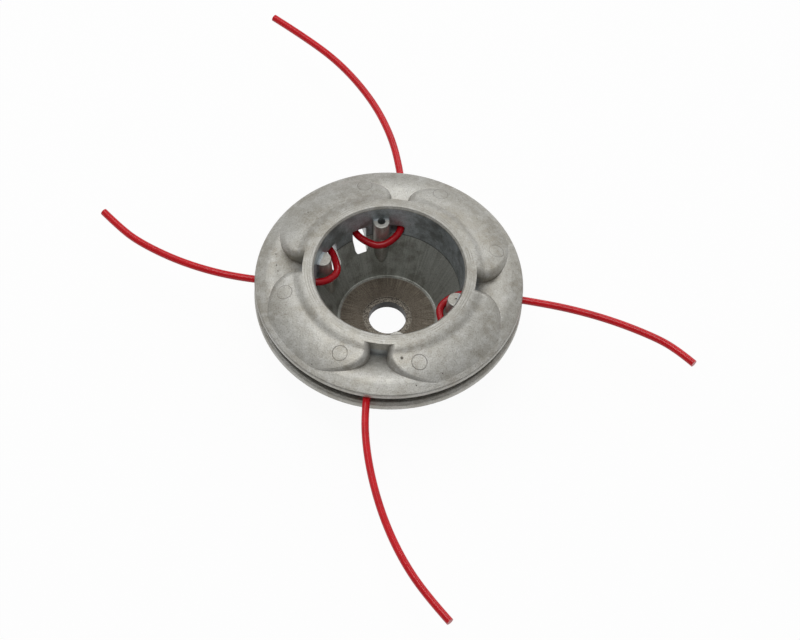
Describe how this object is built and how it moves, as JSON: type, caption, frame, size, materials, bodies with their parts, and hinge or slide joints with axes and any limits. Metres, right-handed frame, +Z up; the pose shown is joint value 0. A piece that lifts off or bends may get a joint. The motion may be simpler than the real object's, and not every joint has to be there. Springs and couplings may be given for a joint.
{
  "type": "fixed line trimmer head",
  "caption": "Round cast aluminium trimmer head: an open cup with an arbor bore, a grooved double flange, raised pads and scooped notches, holding looped red nylon line with free cutting ends.",
  "frame": {"origin": "centre of the mounting face under the cup's floor, on the spindle axis", "axes": "+Z up the spindle axis, out of the cup's mouth; the line exits lie along +X, +Y, -X and -Y, and the picture looks at the part from the front, along +Y and down"},
  "size_m": [0.3193, 0.3622, 0.0514],
  "materials": {
    "cast_aluminium": "as cast, fine grained and slightly mottled, with a turned floor",
    "red_nylon": "extruded, glossy"
  },
  "bodies": {
    "root": {"head_body": "cast_aluminium", "cutting_line_back_left": "red_nylon", "cutting_line_front_right": "red_nylon"}
  },
  "joints": []
}
